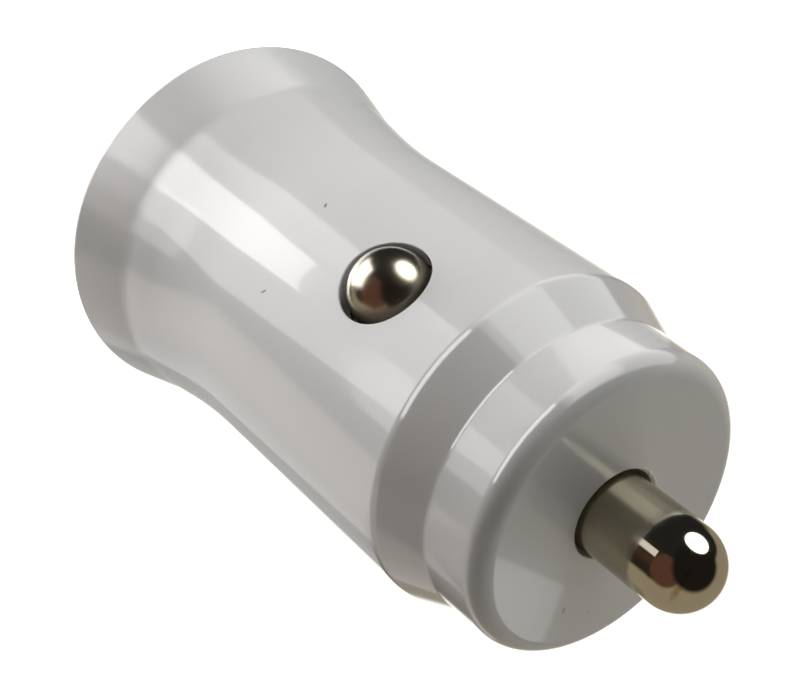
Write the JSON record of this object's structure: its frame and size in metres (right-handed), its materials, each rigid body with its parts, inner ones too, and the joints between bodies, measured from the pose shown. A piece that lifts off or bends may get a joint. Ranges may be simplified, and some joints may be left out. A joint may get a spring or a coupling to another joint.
{
  "type": "car usb charger plug",
  "caption": "Compact white charger plug for a vehicle's round 12 V socket, with a sprung centre contact, sprung side contacts and USB-A and USB-C ports in its flared end.",
  "frame": {"origin": "centre of the port face, on the plane that the rim stands on", "axes": "+Z along the plug's axis from the port face to the centre contact, X through the two side contacts, +Y from the USB-C port towards the USB-A port"},
  "size_m": [0.0246, 0.0246, 0.0445],
  "materials": {
    "housing_plastic": "glossy moulded plastic, white",
    "plate_plastic": "satin moulded plastic, white",
    "nickel": "polished nickel plate on turned brass",
    "tin_plate": "tin-plated sheet steel",
    "gold_plate": "gold flash on bronze strip",
    "tongue_white": "moulded nylon, white",
    "tongue_black": "moulded nylon, black",
    "board": "glass-epoxy board with solder mask",
    "capacitor_sleeve": "shrink sleeve on an aluminium can",
    "inductor_core": "pressed iron powder",
    "chip_epoxy": "moulded epoxy with tinned legs",
    "ceramic": "fired ceramic with tinned ends",
    "fuse_ceramic": "white ceramic with tinned ends",
    "carrier_nylon": "moulded nylon, dark grey",
    "spring_steel": "drawn spring wire",
    "terminal_brass": "rolled brass strip"
  },
  "bodies": {
    "plug": {"housing": "housing_plastic", "face_plate": "plate_plastic", "usb_a_shell": "tin_plate", "usb_a_tongue": "tongue_white", "usb_a_contacts": "gold_plate", "usb_c_shell": "tin_plate", "usb_c_tongue": "tongue_black", "usb_c_contacts": "gold_plate", "main_board": "board", "input_capacitor": "capacitor_sleeve", "output_capacitor": "capacitor_sleeve", "inductor": "inductor_core", "buck_controller": "chip_epoxy", "fast_charge_controller": "chip_epoxy", "rectifier_diode": "chip_epoxy", "fuse": "fuse_ceramic", "ceramic_capacitors": "ceramic", "chip_resistors": "chip_epoxy", "contact_carrier": "carrier_nylon", "tip_spring": "spring_steel", "tip_terminal": "terminal_brass", "side_spring": "spring_steel", "side_terminal": "terminal_brass"},
    "tip": {"tip_contact": "nickel"},
    "left_contact": {"side_contact_left": "nickel"},
    "right_contact": {"side_contact_right": "nickel"}
  },
  "joints": [
    {"name": "tip_press", "type": "slide", "parent": "plug", "child": "tip", "axis": [0, 0, -1], "range_m": [0, 0.003], "stiffness_N_per_m": 900, "springref_m": -0.002, "deforming": ["tip_spring"]},
    {"name": "left_press", "type": "slide", "parent": "plug", "child": "left_contact", "axis": [1, 0, 0], "range_m": [0, 0.00125], "stiffness_N_per_m": 1200, "springref_m": -0.001, "deforming": ["side_spring"]},
    {"name": "right_press", "type": "slide", "parent": "plug", "child": "right_contact", "axis": [-1, 0, 0], "range_m": [0, 0.00125], "stiffness_N_per_m": 1200, "springref_m": -0.001, "deforming": ["side_spring"]}
  ]
}
